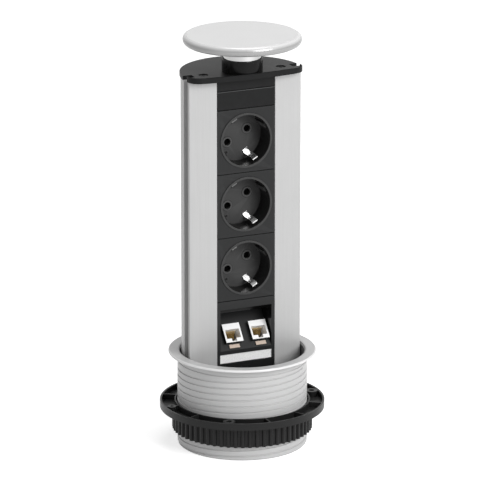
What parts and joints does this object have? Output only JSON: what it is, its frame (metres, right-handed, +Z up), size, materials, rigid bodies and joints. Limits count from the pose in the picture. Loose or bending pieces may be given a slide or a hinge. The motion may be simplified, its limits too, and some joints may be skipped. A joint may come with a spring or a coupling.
{
  "type": "pop up desk socket",
  "caption": "Round pop up desk socket tower: a mains and data column slides up through a threaded worktop sleeve, held below by a clamp ring and grip nut, under a pressable cap.",
  "frame": {"origin": "centre of the sleeve's lower rim, on which the part stands", "axes": "+Z up along the column, +Y away from the sockets, which face -Y"},
  "size_m": [0.1284, 0.1284, 0.3269],
  "materials": {
    "sleeve_silver": "satin silver",
    "liner_grey": "satin dark grey",
    "felt_dark": "dark felt",
    "clamp_black": "satin black",
    "anodised_grey": "matte anodised",
    "cap_silver": "matte top, polished rim",
    "panel_black": "satin black",
    "neck_black": "gloss black",
    "boss_chrome": "polished",
    "screw_dark": "blackened",
    "spring_steel": "bright drawn wire",
    "contact_brass": "bright",
    "earth_nickel": "nickel plated",
    "shutter_grey": "satin grey",
    "inner_grey": "moulded grey",
    "jack_white": "semi gloss",
    "jack_gold": "gold plated wires",
    "latch_beige": "satin beige",
    "label_card": "plain white card",
    "label_clear": "clear plastic window"
  },
  "bodies": {
    "mount": {"threaded_sleeve": "sleeve_silver", "guide_liner": "liner_grey", "brake_felt_left": "felt_dark", "brake_felt_right": "felt_dark"},
    "clamp_flange": {"clamp_flange": "clamp_black"},
    "grip_nut": {"grip_nut": "clamp_black"},
    "column": {"column_profile": "anodised_grey", "top_plate": "panel_black", "top_plate_screws": "screw_dark", "neck": "neck_black", "latch_case": "inner_grey", "base_plate": "panel_black", "base_plate_screws": "screw_dark", "cable_gland": "clamp_black", "header_strip": "panel_black", "blank_cover": "panel_black", "lower_cover": "panel_black", "terminal_block": "inner_grey", "terminal_screws": "spring_steel", "data_frame": "panel_black", "label_strip": "label_card", "label_cover": "label_clear", "busbar_neutral": "contact_brass", "busbar_earth": "contact_brass", "busbar_live": "contact_brass", "jack_shell_left": "jack_white", "jack_contacts_left": "jack_gold", "jack_latch_left": "latch_beige", "jack_shell_right": "jack_white", "jack_contacts_right": "jack_gold", "jack_latch_right": "latch_beige", "socket_face_1": "panel_black", "socket_housing_1": "inner_grey", "earth_clip_1": "earth_nickel", "contact_neutral_1": "contact_brass", "contact_live_1": "contact_brass", "shutter_spring_1": "spring_steel", "socket_face_2": "panel_black", "socket_housing_2": "inner_grey", "earth_clip_2": "earth_nickel", "contact_neutral_2": "contact_brass", "contact_live_2": "contact_brass", "shutter_spring_2": "spring_steel", "socket_face_3": "panel_black", "socket_housing_3": "inner_grey", "earth_clip_3": "earth_nickel", "contact_neutral_3": "contact_brass", "contact_live_3": "contact_brass", "shutter_spring_3": "spring_steel"},
    "cap": {"cap_disc": "cap_silver", "cap_boss": "boss_chrome", "cap_plunger": "inner_grey", "cap_screw": "screw_dark", "cap_spring": "spring_steel"},
    "shutter_1": {"shutter_1": "shutter_grey"},
    "shutter_2": {"shutter_2": "shutter_grey"},
    "shutter_3": {"shutter_3": "shutter_grey"}
  },
  "joints": [
    {"name": "column_slide", "type": "slide", "parent": "mount", "child": "column", "axis": [0, 0, 1], "range_m": [-0.251, 0]},
    {"name": "cap_press", "type": "slide", "parent": "column", "child": "cap", "axis": [0, 0, 1], "range_m": [-0.01, 0], "stiffness_N_per_m": 400, "springref_m": 0.01, "deforming": ["cap_spring"]},
    {"name": "nut_climb", "type": "slide", "parent": "mount", "child": "clamp_flange", "axis": [0, 0, 1], "range_m": [-0.0112, 0.0282]},
    {"name": "nut_turn", "type": "hinge", "parent": "clamp_flange", "child": "grip_nut", "pos_m": [0, 0, 0.02], "axis": [0, 0, 1], "range_deg": [-396, 1008]},
    {"name": "shutter_1_turn", "type": "hinge", "parent": "column", "child": "shutter_1", "pos_m": [0, 0.01285, 0.1428], "axis": [0, 1, 0], "range_deg": [0, 48], "stiffness_Nm_per_rad": 0.0005, "springref_deg": -11.46},
    {"name": "shutter_2_turn", "type": "hinge", "parent": "column", "child": "shutter_2", "pos_m": [0, 0.01285, 0.1937], "axis": [0, 1, 0], "range_deg": [0, 48], "stiffness_Nm_per_rad": 0.0005, "springref_deg": -11.46},
    {"name": "shutter_3_turn", "type": "hinge", "parent": "column", "child": "shutter_3", "pos_m": [0, 0.01285, 0.2446], "axis": [0, 1, 0], "range_deg": [0, 48], "stiffness_Nm_per_rad": 0.0005, "springref_deg": -11.46}
  ],
  "couplings": [
    {"joint": "nut_climb", "follows": "nut_turn", "m_per_rad": 0.0015915}
  ]
}
